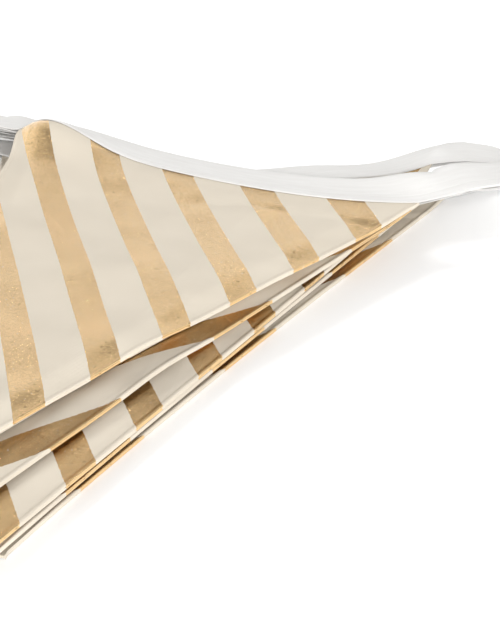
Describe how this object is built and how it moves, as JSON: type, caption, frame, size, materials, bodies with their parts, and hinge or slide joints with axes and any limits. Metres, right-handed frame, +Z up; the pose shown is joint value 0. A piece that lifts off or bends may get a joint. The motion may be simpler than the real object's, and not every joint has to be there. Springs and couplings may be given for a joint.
{
  "type": "fabric bunting",
  "caption": "String of striped canvas pennants sewn to a folded cotton tape, folded back and forth and laid flat in a fanned stack.",
  "frame": {"origin": "centre of the folded stack's bounding box in plan, at the surface it lies on", "axes": "+X along the tape of the top pennant towards its right-hand corner, +Y from the points towards the tape, +Z up"},
  "size_m": [0.3518, 0.392, 0.0347],
  "materials": {
    "canvas_1": "matt natural canvas with slanting gold foil stripes",
    "canvas_2": "matt natural canvas with slanting gold foil stripes",
    "canvas_3": "matt natural canvas with slanting gold foil stripes",
    "canvas_4": "matt natural canvas with slanting gold foil stripes",
    "canvas_5": "matt natural canvas with slanting gold foil stripes",
    "canvas_6": "matt natural canvas with slanting gold foil stripes",
    "tape": "matt white cotton"
  },
  "bodies": {
    "root": {"pennant_1": "canvas_1", "pennant_2": "canvas_2", "pennant_3": "canvas_3", "pennant_4": "canvas_4", "pennant_5": "canvas_5", "pennant_6": "canvas_6", "tape": "tape"}
  },
  "joints": []
}
